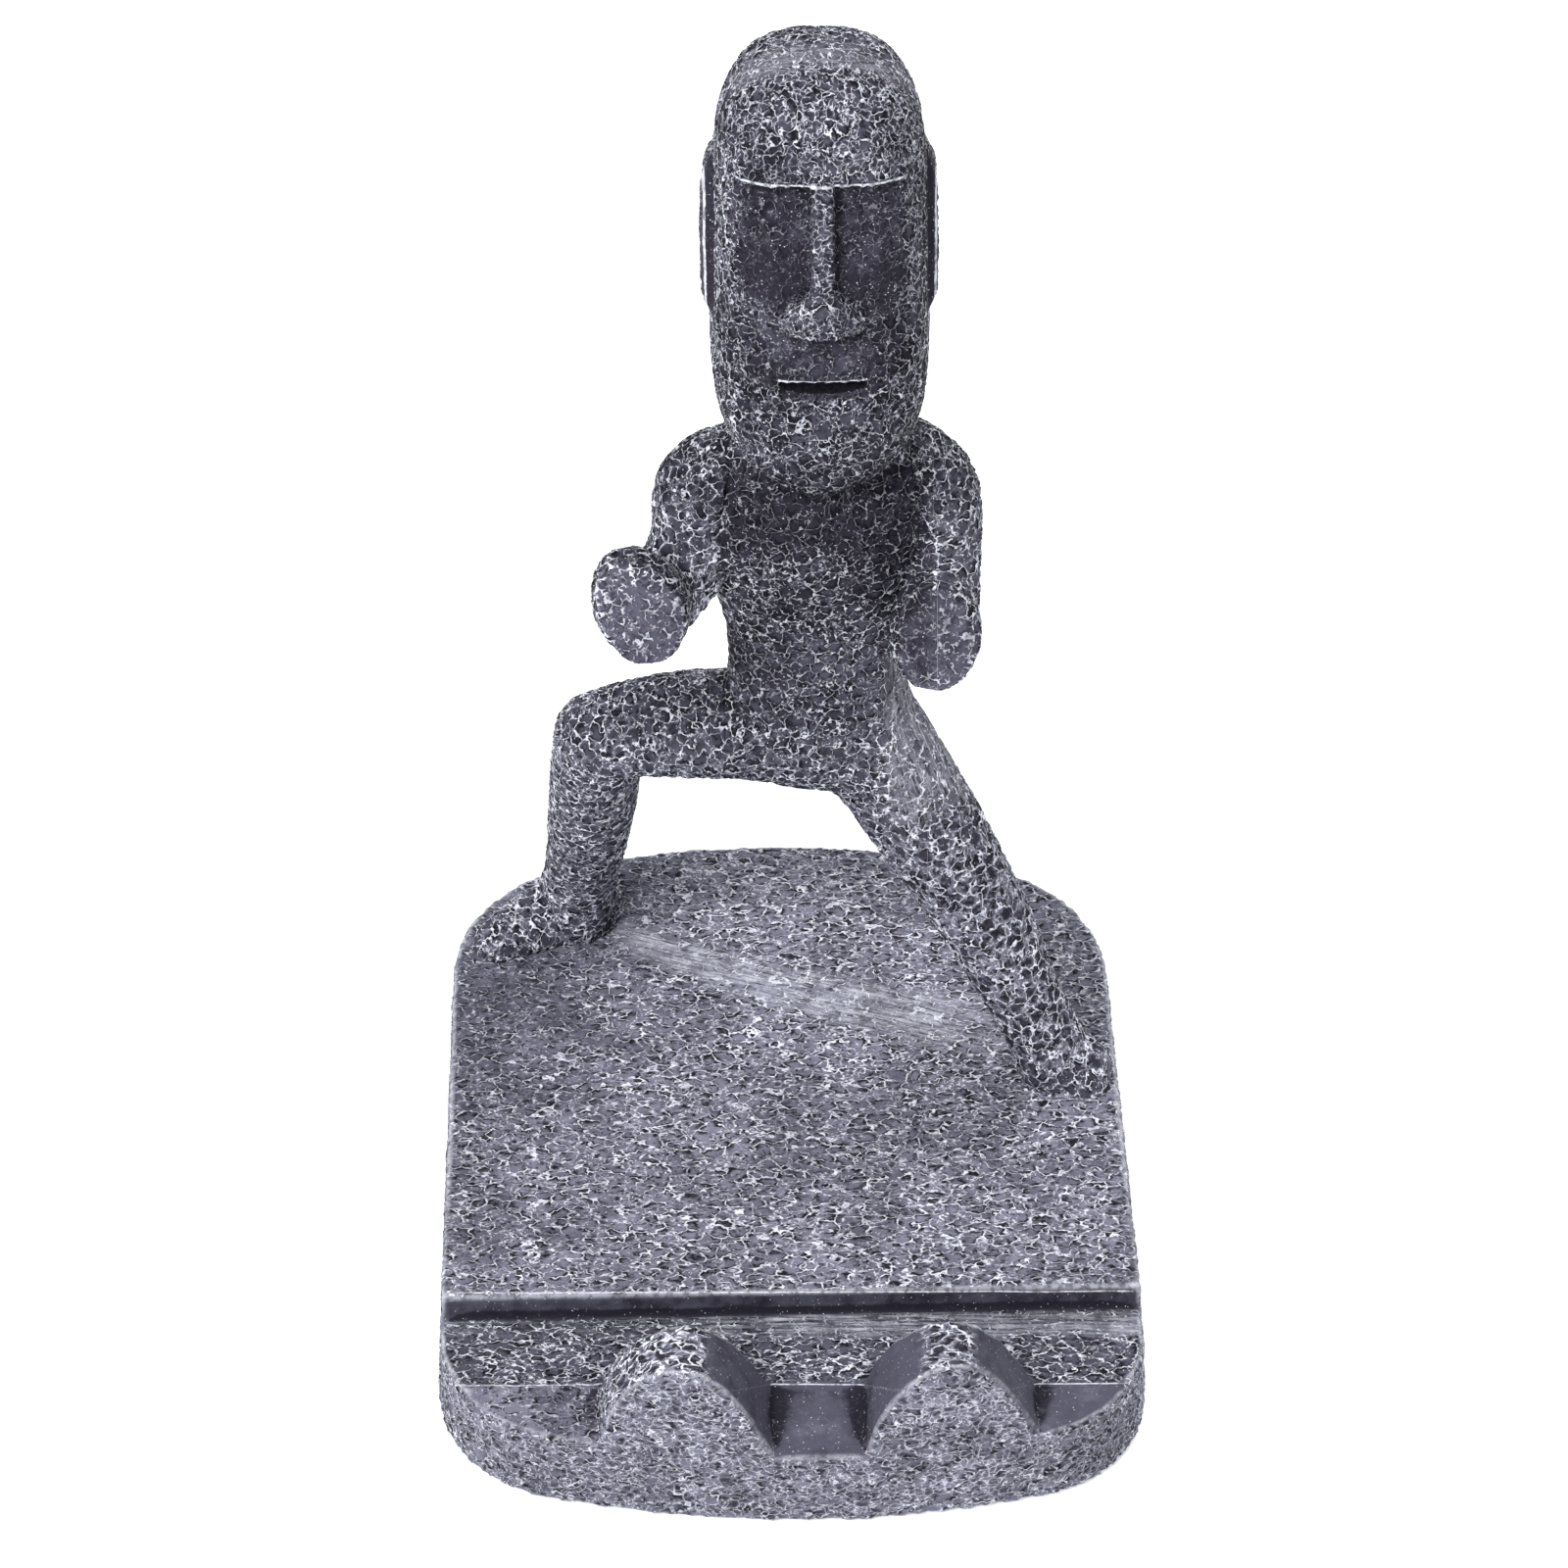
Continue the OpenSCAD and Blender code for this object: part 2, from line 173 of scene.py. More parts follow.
def welded(names):
    """One mesh with these CAD nodes, each welded on its own."""
    whole = bmesh.new()
    for name in names:
        part = bmesh.new()
        part.from_mesh(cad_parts[name].data)
        bmesh.ops.remove_doubles(part, verts=part.verts, dist=0.001 * MM)
        mesh = bpy.data.meshes.new("welded")
        part.to_mesh(mesh)
        part.free()
        whole.from_mesh(mesh)
        bpy.data.meshes.remove(mesh)
    mesh = bpy.data.meshes.new("whole")
    whole.to_mesh(mesh)
    whole.free()
    return mesh


def outer_skin(mesh):
    """Deletes every closed shell but the largest: the pin bores between two castings."""
    bm = bmesh.new()
    bm.from_mesh(mesh)
    left = set(bm.verts)
    shells = []
    while left:
        front = [left.pop()]
        shell = list(front)
        while front:
            v = front.pop()
            for e in v.link_edges:
                other = e.other_vert(v)
                if other in left:
                    left.remove(other)
                    shell.append(other)
                    front.append(other)
        shells.append(shell)
    shells.sort(key=len)
    for shell in shells[:-1]:
        bmesh.ops.delete(bm, geom=shell, context="VERTS")
    bm.to_mesh(mesh)
    bm.free()
    return mesh


def even_skin(names, voxel):
    """Even quads over the outside of these CAD nodes taken together."""
    obj = bpy.data.objects.new("whole", welded(names))
    scene.collection.objects.link(obj)
    even = obj.modifiers.new("even", "REMESH")
    even.mode = "VOXEL"
    even.voxel_size = voxel * MM
    mesh = evaluated(obj)
    bpy.data.objects.remove(obj)
    return outer_skin(mesh)


def add_attribute(mesh, name, values):
    """Per-vertex attribute: one number or three numbers a vertex."""
    kind, field = ("FLOAT", "value") if values.ndim == 1 else ("FLOAT_VECTOR", "vector")
    if name in mesh.attributes:
        mesh.attributes.remove(mesh.attributes[name])
    data = mesh.attributes.new(name, kind, "POINT").data
    data.foreach_set(field, values.astype(np.float32).ravel())


def convexity(mesh, rounds):
    """How far a vertex stands out of its softened surroundings, in millimetres."""
    co = positions(mesh)
    soft = relaxed(co, edge_ends(mesh), rounds, np.full(len(co), 0.5))
    return ((co - soft) * normals(mesh)).sum(1) / MM


# ---- Head coordinates ----

def head_frame(co):
    """Sideways, forwards and upwards distance in the leaning head, in millimetres."""
    low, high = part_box("neck_pin")
    x = co[:, 0] - (low.x + high.x) / 2 / MM
    y = co[:, 1] - (low.y + high.y) / 2 / MM
    z = co[:, 2] - HEAD_FOOT_Z
    c, s = math.cos(HEAD_TILT), math.sin(HEAD_TILT)
    return x, -(y * c - z * s), y * s + z * c


def mouth_curve(side):
    """How open the mouth is, from 0 at its corners to 1 in its middle, and its height."""
    bow = 1 - np.clip(side / MOUTH_HALF, -1, 1) ** 2
    return bow, MOUTH_HEIGHT - 0.25 * bow


# ---- Painting masks ----
# Every vertex of a casting carries these numbers, which its relief and its paint read:
#   rest    place before the relief, in millimetres
#   paint   calm (no relief), brush (light paint on the crests) and shade (painted shade where shadow falls, and darker paint)
#   smear   how much paint is smeared, and the places along and across the smear
#   cell    coordinates in which the relief's cells are laid out
#   fine    how much of the relief is small cells
#   porous  how clearly pits show between broad walls
#   line    signed distances to three brightly painted edges
#   form    how far it stands out of its close surroundings, and how deep it lies in a recess

def only(where, distance):
    """Signed distance to a line, put out of reach where the line isn't painted."""
    return np.where(where, distance, np.where(distance < 0, -OUT_OF_REACH, OUT_OF_REACH))


def slab_parts(x, y, z, no):
    """Which part of the slab each point belongs to."""
    up = step(no[:, 2], 0.55, 0.85)
    front = step(-no[:, 1], 0.35, 0.7)
    side = step(np.abs(no[:, 0]), 0.3, 0.6)
    before_seat = step(-y, -SEAT_Y - 0.8, -SEAT_Y)
    wall = front * near(y, WALL_Y, 0.7, 0.8) * step(-z, -DECK_Z - 0.1, -DECK_Z + 0.3)
    floor = up * before_seat * step(-z, -SILL_Z - 0.6, -SILL_Z - 0.1)
    flank = side * before_seat * step(z, SILL_Z - 0.6, SILL_Z + 0.4)
    flank = flank * step(x, LEFT_LUG_X - 2, LEFT_LUG_X + 2) * (1 - step(np.abs(x), 38, 41))
    deck = up * step(z, DECK_Z - 0.8, DECK_Z - 0.3)
    return SimpleNamespace(
        up=up,
        wall=wall,
        floor=floor,
        left_floor=floor * (1 - step(x, LEFT_LUG_X - 4, LEFT_LUG_X - 2)),
        right_floor=floor * step(x, GAP_X - 7, GAP_X - 5),
        flank=flank,
        crest=before_seat * step(z, SILL_Z + 4, SILL_Z + 7) * (1 - flank) * (1 - front),
        face=front * before_seat * (1 - wall),
        outer=step(np.abs(x), 39.5, 41.5) * (1 - up),
        deck=deck,
        left_deck=deck * (1 - step(x, -32, -6)) * step(y, -5, 14),
        seat=up * step(-y, -WALL_Y + 1, -WALL_Y + 4) * (1 - before_seat),
        under=step(-no[:, 2], 0.6, 0.9),
    )


def slab_smears(x, y, z, part):
    """Paint smeared over the deck between the feet, and in the seat along the foot of its wall."""
    along = (x + 20) / 50
    inside = np.clip(along, 0, 1)
    path = 34 - 17 * along - 3 * np.sin(np.pi * inside)
    spread = 3 + 3 * inside
    between = part.deck * near(y, path, 0.4 * spread, 0.9 * spread)
    between = between * step(along, -0.06, 0.06) * (1 - step(along, 0.7, 1.1))
    foot = part.up * near(y, WALL_Y - 1.8, 1.0, 1.8) * step(-z, -DECK_Z, -SILL_Z)
    foot = foot * (0.25 + 0.75 * step(x, -20, 4))
    return between, foot


def slab_masks(co, no):
    x, y, z = co.T
    y = y + SEAT_SKEW * x
    part = slab_parts(x, y, z, no)
    between, foot = slab_smears(x, y, z, part)
    lean = np.where(part.deck > 0.5, math.radians(-19), 0.0)
    along = x * np.cos(lean) + y * np.sin(lean)
    across = y * np.cos(lean) - x * np.sin(lean) + z

    calm = (0.95 * part.wall + 0.5 * part.floor + 0.35 * part.right_floor - 0.3 * part.left_floor
            + 0.92 * part.flank + 0.3 * part.left_deck + 0.35 * between + 0.45 * foot + part.under)
    brush = (0.62 - 0.16 * part.face + 0.3 * part.crest - 0.3 * part.wall - 0.2 * part.floor
             - 0.2 * part.flank - 0.1 * part.left_deck - part.under)
    # shade: painted shade on the wall under the deck's edge and on the lugs' flanks; darker also on
    # the floors, the seat, the crests, the face and the left of the deck
    shade = (0.95 * part.wall + 0.25 * part.floor + 0.3 * part.right_floor - 0.3 * part.left_floor
             + 0.7 * part.flank + 0.25 * part.left_deck + 0.5 * part.crest + 0.15 * part.face
             + 0.6 * part.seat)

    deck_edge = only(np.abs(x) < 41.6, (y - WALL_Y) + (z - DECK_Z))
    seat_edge = 1.4 * (y - SEAT_Y) + 1.4 * (z - SILL_Z)
    seat_edge = only((z < SILL_Z + 0.4) & (np.abs(x) < 40), seat_edge)
    return {
        "paint": np.clip(np.stack([calm, brush, shade], 1), 0, 1.2),
        "smear": np.stack([0.9 * between + 0.9 * foot, along, across], 1),
        "cell": co * np.array([0.7, 1.12, 1.12]),
        "fine": np.clip(0.12 * part.up + part.face + 0.5 * part.outer - part.crest, 0, 1),
        "porous": part.crest,
        "line": np.stack([deck_edge, seat_edge, np.full(len(x), OUT_OF_REACH)], 1),
    }


def head_parts(side, fore, high, z):
    """Which part of the head each point belongs to."""
    reach = np.abs(side)
    head = step(z, 103, 105) * step(high, 0.3, 1.5)
    face = head * step(fore, 5.5, 8.5)
    nose_half = 0.8 + 4.0 * (1 - step(high, NOSE_HEIGHT + 1.5, NOSE_HEIGHT + 6))
    beside_nose = np.where(high > NOSE_HEIGHT - 0.5, step(reach, nose_half, nose_half + 0.6), 1)
    hollow = face * beside_nose * (1 - step(reach, 8.4, 9.8))
    hollow = hollow * step(high, NOSE_HEIGHT + 1, NOSE_HEIGHT + 7)
    hollow = hollow * (1 - step(high, BROW_HEIGHT - 0.6, BROW_HEIGHT + 0.1))
    ear = head * near(high, EAR_HEIGHT, 9.2, 0.6) * step(reach, 11.7, 12.1) * (1 - step(fore, 4.5, 6))
    climb = 0.85 * high - 0.53 * fore + 0.03 * reach ** 2
    crown = head * step(climb, 40.8, 42.0) * (1 - step(climb, 43.6, 45.6))
    top = head * step(climb, 41, 43)
    bow, mouth = mouth_curve(side)
    across_mouth = face * step(bow, 0.0, 0.12)
    return SimpleNamespace(
        head=head,
        hollow=hollow,
        cheek=face * near(high, 23, 5, 6) * beside_nose * (1 - step(reach, 6.5, 9.5)),
        lip=face * near(high, MOUTH_HEIGHT + 3, 2.6, 1.5) * (1 - step(reach, 4.5, 7.5)),
        ear=ear,
        ear_front=ear * (1 - step(reach, 13.3, 13.7)) * step(fore, 0.4, 1.4),
        crown=crown * (1 - step(reach, 7, 11)),
        top=top,
        forehead=head * step(fore, 3, 5) * step(high, BROW_HEIGHT, BROW_HEIGHT + 1) * (1 - top),
        nose=face * (1 - beside_nose) * near(high, 31.5, 9, 1),
        under_nose=face * near(high, NOSE_HEIGHT - 0.8, 0.6, 0.6) * (1 - step(reach, 4.5, 6)),
        chin=face * (1 - step(high, MOUTH_HEIGHT - 1, NOSE_HEIGHT)),
        rim=head * step(reach, 8.5, 10.5),
        slit=across_mouth * near(high, mouth - 0.3, 0.1 + 0.45 * bow, 0.2),
        lower_lip=across_mouth * near(high, mouth - 0.7, 0.7, 0.4),
    )


def body_parts(x, y, z, no, head):
    """Which part of the body each point belongs to, with x counted from the trunk's middle."""
    reach = np.abs(x)
    body = 1 - head
    arm = step(reach, 10.5, 13.5) * step(-z, -108, -104) * step(z, 76, 80) * body
    return SimpleNamespace(
        arm=arm,
        fist=step(-y, -6.5, -4.5) * step(-no[:, 1], 0.8, 0.92) * step(z, 76, 80),
        chest=body * (1 - arm) * step(z, 76, 86),
        armpit=near(reach, 11.2, 1.6, 2.2) * near(z, 90, 6, 5) * step(-y, 2, 5) * body,
        throat=body * step(z, 93, 99) * (1 - step(reach, 10, 13)),
        left_hip=step(x, 6, 9) * near(z, 66, 8, 6),
        legs=1 - step(z, 58, 72),
        straight=(1 - step(z, 30, 60)) * step(x, 0, 6) * step(z, 17, 22),
        upper=step(no[:, 2], 0.25, 0.75),
        lower=step(-no[:, 2], 0.2, 0.8),
    )


def face_lines(side, fore, high, part):
    """Signed distances to the upper lip, the brow and the ears' outer edges."""
    reach = np.abs(side)
    face = (fore > 6.5) & (part.head > 0.5)
    bow, mouth = mouth_curve(side)
    lip = only(face & (reach < MOUTH_HALF), high - mouth - 0.5 - 0.1 * bow)
    brow = only(face & (reach < 9.6), 1.1 * (high - BROW_HEIGHT - 0.35))
    left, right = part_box("head")
    ear_edge = (right.x - left.x) / 2 / MM - 0.35
    ear = only((part.ear > 0.5) & (fore > -0.5), reach - ear_edge)
    return np.stack([lip, brow, ear], 1)


def statue_masks(co, no):
    x, y, z = co.T
    side, fore, high = head_frame(co)
    left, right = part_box("torso")
    h = head_parts(side, fore, high, z)
    b = body_parts(x - (left.x + right.x) / 2 / MM, y, z, no, h.head)
    below_chin = np.maximum(b.throat, step(-high, -2.2, 0.2) * step(z, 98, 102))

    calm = (0.4 * h.hollow + 0.2 * h.cheek + 0.25 * h.lip + 0.85 * h.ear_front + 0.35 * h.crown
            + 0.5 * b.fist + 0.3 * b.left_hip)
    brush = (0.4 - 0.22 * h.hollow - 0.06 * h.cheek - 0.06 * h.lip - 0.2 * h.ear_front
             + 0.04 * h.forehead + 0.1 * h.rim + 0.2 * b.legs + 0.25 * b.arm + 0.1 * b.upper
             - 0.05 * b.fist + 0.06 * b.chest + 0.14 * h.top - 0.25 * b.armpit
             - 0.25 * below_chin - h.slit - h.lower_lip - 0.2 * h.under_nose)
    # shade: a darker base, painted shade in the eye hollows, the mouth's slit, the armpits, under the
    # chin and the nose and on faces turned down, and darker also on the cheeks, chin, chest and ear
    # fronts
    shade = (0.34 + 0.26 * h.hollow + 0.1 * h.cheek + 0.6 * h.ear_front + 0.1 * b.chest
             + 0.2 * h.chin + 0.25 * b.lower + 1.4 * h.slit + 0.6 * b.armpit + 0.55 * below_chin
             + 0.3 * h.under_nose - 0.3 * b.legs - 0.3 * b.arm - 0.45 * h.top
             - 0.05 * h.forehead - 0.2 * b.fist)

    on_hip = b.left_hip > 0.01
    along = np.where(on_hip, z, x)
    across = np.where(on_hip, x + y, y + z)
    fine = 0.4 * h.head + 0.5 * h.nose + 0.35 * h.forehead + 0.1 * b.chest
    porous = 0.9 * b.straight + 0.45 * b.legs + 0.3 * b.arm * (1 - b.fist)
    return {
        "paint": np.clip(np.stack([calm, brush, shade], 1), 0, 1.2),
        "smear": np.stack([0.4 * h.crown + 0.5 * b.left_hip, along, across], 1),
        "cell": co,
        "fine": np.clip(fine, 0, 1),
        "porous": np.clip(porous, 0, 1),
        "line": face_lines(side, fore, high, h),
    }


# ---- Node helpers, used alike in geometry and in shaders ----

class Tree:
    """A node tree with short calls for its maths."""

    def __init__(self, tree):
        self.tree = tree

    def node(self, kind, **settings):
        made = self.tree.nodes.new(kind)
        for key, value in settings.items():
            setattr(made, key, value)
        return made

    def put(self, socket, value):
        if isinstance(value, bpy.types.NodeSocket):
            self.tree.links.new(value, socket)
        else:
            socket.default_value = value

    def math(self, operation, a, b=0.0, clamp=False):
        made = self.node("ShaderNodeMath", operation=operation, use_clamp=clamp)
        self.put(made.inputs[0], a)
        self.put(made.inputs[1], b)
        return made.outputs[0]

    def vector_math(self, operation, a, b=None, scale=None):
        made = self.node("ShaderNodeVectorMath", operation=operation)
        self.put(made.inputs[0], a)
        if b is not None:
            self.put(made.inputs[1], b)
        if scale is not None:
            self.put(made.inputs["Scale"], scale)
        return made.outputs[0]

    def chain(self, operation, values):
        result = values[0]
        for value in values[1:]:
            result = self.math(operation, result, value)
        return result

    def product(self, *values):
        return self.chain("MULTIPLY", values)

    def total(self, *values):
        return self.chain("ADD", values)

    def largest(self, *values):
        return self.chain("MAXIMUM", values)

    def ramp(self, value, low, high, out_low=0.0, out_high=1.0):
        """Smooth step between two values."""
        made = self.node("ShaderNodeMapRange", interpolation_type="SMOOTHSTEP")
        for socket, number in zip(made.inputs[0:5], (value, low, high, out_low, out_high)):
            self.put(socket, number)
        return made.outputs[0]

    def noise(self, at, scale, detail=2.0, roughness=0.5):
        """Noise as a number and as a colour."""
        made = self.node("ShaderNodeTexNoise", noise_dimensions="3D")
        self.put(made.inputs["Vector"], at)
        self.put(made.inputs["Scale"], scale)
        self.put(made.inputs["Detail"], detail)
        self.put(made.inputs["Roughness"], roughness)
        return made.outputs[0], made.outputs[1]

    def split(self, vector):
        made = self.node("ShaderNodeSeparateXYZ")
        self.put(made.inputs[0], vector)
        return made.outputs

    def moved(self, at, by):
        """The same coordinates elsewhere, so that a second pattern doesn't follow the first."""
        return self.vector_math("ADD", at, by)

    def cells(self, at, scale, feature="DISTANCE_TO_EDGE"):
        made = self.node("ShaderNodeTexVoronoi", feature=feature, voronoi_dimensions="3D")
        self.put(made.inputs["Vector"], at)
        self.put(made.inputs["Scale"], scale)
        return made.outputs["Distance"]

    def mix(self, factor, a, b):
        made = self.node("ShaderNodeMix", data_type="RGBA")
        self.put(made.inputs[0], factor)
        self.put(made.inputs[6], a)
        self.put(made.inputs[7], b)
        return made.outputs[2]


def cell_pattern(t, at):
    """Distances to the borders of warped large and small cells, and noise that breaks them up."""
    wobble = t.vector_math("SCALE", t.noise(at, 0.6, 1.0)[1], scale=1.6)
    ripple = t.vector_math("SCALE", t.noise(at, 1.7, 1.0)[1], scale=0.8)
    warped = t.vector_math("ADD", t.vector_math("ADD", at, wobble), ripple)
    large = t.cells(warped, LARGE_CELLS)
    small = t.cells(t.moved(warped, (31.0, 17.0, 5.0)), SMALL_CELLS)
    return large, small, t.noise(at, 0.85, 2.0)[0]


def relief(t, at, calm, fine):
    """Height in millimetres of a relief wide enough for the mesh to carry."""
    large, small, broken = cell_pattern(t, at)
    rough = t.math("SUBTRACT", 1.0, t.product(calm, 0.92))
    wall = t.product(t.ramp(large, 0.0, 0.3, 1.0, 0.0), t.ramp(broken, 0.4, 0.56))
    low_wall = t.product(t.ramp(small, 0.0, 0.34, 1.0, 0.0), t.total(t.product(fine, 0.8), 0.2))
    height = t.product(t.total(t.product(wall, 0.24), t.product(low_wall, 0.08)), rough)
    grain = t.math("SUBTRACT", t.noise(at, 1.5, 2.0)[0], 0.5)
    lumps = t.math("SUBTRACT", t.noise(at, 0.14, 2.0)[0], 0.5)
    return t.total(height, t.product(grain, 0.14, rough), t.product(lumps, 0.5))


def crests(t, at, calm, fine, brush):
    """How much of a thin crest and of painted shadow around it and in small pits each point is, and
    how far into its cell.
    """
    large, small, broken = cell_pattern(t, at)
    rough = t.ramp(calm, 0.1, 0.95, 1.0, 0.03)

    width = t.ramp(brush, 0.2, 1.0, 0.6, 1.4)
    thin = t.ramp(t.math("DIVIDE", large, width), 0.02, 0.075, 1.0, 0.0)
    thin_small = t.ramp(t.math("DIVIDE", small, width), 0.02, 0.1, 1.0, 0.0)
    whole = t.math("SUBTRACT", broken, t.product(calm, 0.1))
    large_kept = t.ramp(t.math("SUBTRACT", whole, t.product(fine, 0.08)), 0.43, 0.5)
    small_kept = t.ramp(t.math("SUBTRACT", broken, t.product(fine, 0.16)), 0.36, 0.44, 0.9, 0.0)
    uneven = t.ramp(t.noise(t.moved(at, (7.0, 70.0, 20.0)), 1.1, 2.0)[0], 0.35, 0.6, 0.5, 1.0)
    crest = t.largest(t.product(thin, large_kept), t.product(thin_small, small_kept))
    crest = t.product(crest, rough, uneven)

    # Painted shadow: a band just inside a cell's border, on the side the noise picks, and small pits,
    # painted dark where shadow would fall
    shadow_side = t.ramp(t.noise(t.moved(at, (30.0, 7.0, 2.0)), 0.9, 2.0)[0], 0.4, 0.56, 0.1, 1.0)
    shadow_beside = t.product(t.ramp(large, 0.05, 0.1), t.ramp(large, 0.14, 0.34, 1.0, 0.0), large_kept)
    pit_shadow = t.product(t.ramp(small, 0.12, 0.26), small_kept, 0.8)
    dark = t.product(t.largest(shadow_beside, pit_shadow), rough, shadow_side)
    return crest, dark, large


def raise_relief(mesh):
    """The mesh with its relief raised along its normals by a node tree."""
    group = bpy.data.node_groups.new("raise relief", "GeometryNodeTree")
    group.interface.new_socket("Geometry", in_out="INPUT", socket_type="NodeSocketGeometry")
    group.interface.new_socket("Geometry", in_out="OUTPUT", socket_type="NodeSocketGeometry")
    t = Tree(group)
    read = {}
    for name, kind in (("cell", "FLOAT_VECTOR"), ("paint", "FLOAT_VECTOR"), ("fine", "FLOAT")):
        node = t.node("GeometryNodeInputNamedAttribute", data_type=kind)
        node.inputs[0].default_value = name
        read[name] = node.outputs[0]
    calm = t.split(read["paint"])[0]
    height = relief(t, read["cell"], calm, read["fine"])
    normal = t.node("GeometryNodeInputNormal")
    offset = t.vector_math("SCALE", normal.outputs[0], scale=t.product(height, MM))
    move = t.node("GeometryNodeSetPosition")
    start = t.node("NodeGroupInput")
    end = t.node("NodeGroupOutput")
    t.put(move.inputs["Geometry"], start.outputs[0])
    t.put(move.inputs["Offset"], offset)
    t.put(end.inputs[0], move.outputs[0])
    obj = bpy.data.objects.new("raised", mesh)
    scene.collection.objects.link(obj)
    modifier = obj.modifiers.new("relief", "NODES")
    modifier.node_group = group
    raised = evaluated(obj)
    bpy.data.objects.remove(obj)
    bpy.data.node_groups.remove(group)
    return raised


def refined(mesh, wanted):
    """The mesh with the faces that wanted picks by their centres split in four."""
    bm = bmesh.new()
    bm.from_mesh(mesh)
    centres = np.array([f.calc_center_median() for f in bm.faces]) / MM
    chosen = wanted(centres)
    edges = {e for f, c in zip(bm.faces, chosen) if c for e in f.edges}
    bmesh.ops.subdivide_edges(bm, edges=list(edges), cuts=1, use_grid_fill=True)
    bm.to_mesh(mesh)
    bm.free()
    return mesh


def casting_mesh(names, voxel, masks, rounds, soft_spots=(), wanted=None, sculpt=None):
    """The finished skin of these CAD nodes, with the attributes that its paint reads.

    A soft spot is a centre, how far it reaches and how many rounds it is softened.
    """
    mesh = even_skin(names, voxel)
    ends = edge_ends(mesh)
    co = relaxed(positions(mesh), ends, rounds, np.full(len(mesh.vertices), 0.5))
    for centre, reach, more in soft_spots:
        away = np.linalg.norm(co / MM - np.array(centre), axis=1)
        weight = 0.5 * (1 - step(away, 0.55 * reach, reach))
        co = relaxed(co, ends, more, weight)
    set_positions(mesh, co)
    if wanted:
        mesh = refined(mesh, wanted)
        weight = np.full(len(mesh.vertices), 0.4)
        set_positions(mesh, relaxed(positions(mesh), edge_ends(mesh), 1, weight))
    if sculpt:
        set_positions(mesh, sculpt(positions(mesh) / MM) * MM)

    rest = positions(mesh) / MM
    add_attribute(mesh, "rest", rest)
    for key, values in masks(rest, normals(mesh)).items():
        add_attribute(mesh, key, values)
    edge = convexity(mesh, 5)
    recess = np.clip(-convexity(mesh, 90), 0, None)
    add_attribute(mesh, "form", np.stack([edge, recess, np.zeros(len(rest))], 1))
    return raise_relief(mesh)


def front_of_head(centres):
    """Picks the mouth, the nose and the brow."""
    side, fore, high = head_frame(centres)
    reach = np.abs(side)
    mouth = (high > MOUTH_HEIGHT - 2) & (high < NOSE_HEIGHT + 1)
    brow = np.abs(high - BROW_HEIGHT) < 1.5
    nose = (high > MOUTH_HEIGHT) & (high < BROW_HEIGHT) & (reach < 5.5)
    return (fore > 5) & (mouth | brow | nose) & (reach < 10.5)


def carve_face(co):
    """Cuts the mouth, and raises the upper lip, the ridge under the nose and the brow."""
    side, fore, high = head_frame(co)
    reach = np.abs(side)
    bow, mouth = mouth_curve(side)
    slit = near(high, mouth, 0.12 + 0.3 * bow, 0.2) * step(bow, 0.0, 0.12)
    upper_lip = near(high, mouth + 0.55 + 0.1 * bow, 0.12, 0.28) * step(bow, 0.0, 0.15)
    ridge = near(reach, 0, 0.12, 0.3) * near(high, (MOUTH_HEIGHT + NOSE_HEIGHT) / 2 + 0.3, 2.0, 0.6)
    brow = near(high, BROW_HEIGHT + 0.1, 0.15, 0.35) * (1 - step(reach, 8.6, 9.8))
    push = -0.75 * slit + 0.22 * upper_lip + 0.16 * ridge + 0.12 * brow
    push = push * step(fore, 7, 9) * step(high, 2, 4)
    forwards = np.array([0, -math.cos(HEAD_TILT), math.sin(HEAD_TILT)])
    return co + push[:, None] * forwards


def plain_underside(mesh, height):
    """Flattens the underside, leaving large faces in its middle and small ones at its rims."""
    slack = 0.4 * MM
    rim_rows = 3
    bm = bmesh.new()
    bm.from_mesh(mesh)
    bm.normal_update()
    under = {v for v in bm.verts if v.co.z < height + slack and v.normal.z < -0.8}
    for _ in range(rim_rows):
        under = {v for v in under if all(e.other_vert(v) in under for e in v.link_edges)}
    for v in under:
        v.co.z = height
    bm.normal_update()
    verts = [v for v in bm.verts if v in under]
    edges = [e for e in bm.edges if e.verts[0] in under and e.verts[1] in under]
    flat = math.radians(1)
    bmesh.ops.dissolve_limit(bm, angle_limit=flat, verts=verts, edges=edges, delimit=set())
    bmesh.ops.triangulate(bm, faces=[f for f in bm.faces if len(f.verts) > 4])
    bm.to_mesh(mesh)
    bm.free()


# ---- Cutting the statue apart ----

def nearest_node(co, names):
    """For each point, the number of the CAD node whose surface is nearest."""
    margin = 2 * MM
    distance = np.full((len(names), len(co)), np.inf)
    for i, name in enumerate(names):
        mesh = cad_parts[name].data
        faces = [p.vertices for p in mesh.polygons]
        tree = BVHTree.FromPolygons([v.co for v in mesh.vertices], faces)
        low, high = (np.array(corner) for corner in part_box(name))
        close = np.all((co > low - margin) & (co < high + margin), axis=1)
        for k in np.nonzero(close)[0]:
            distance[i, k] = tree.find_nearest(Vector(co[k]))[3]
    return distance.argmin(0)


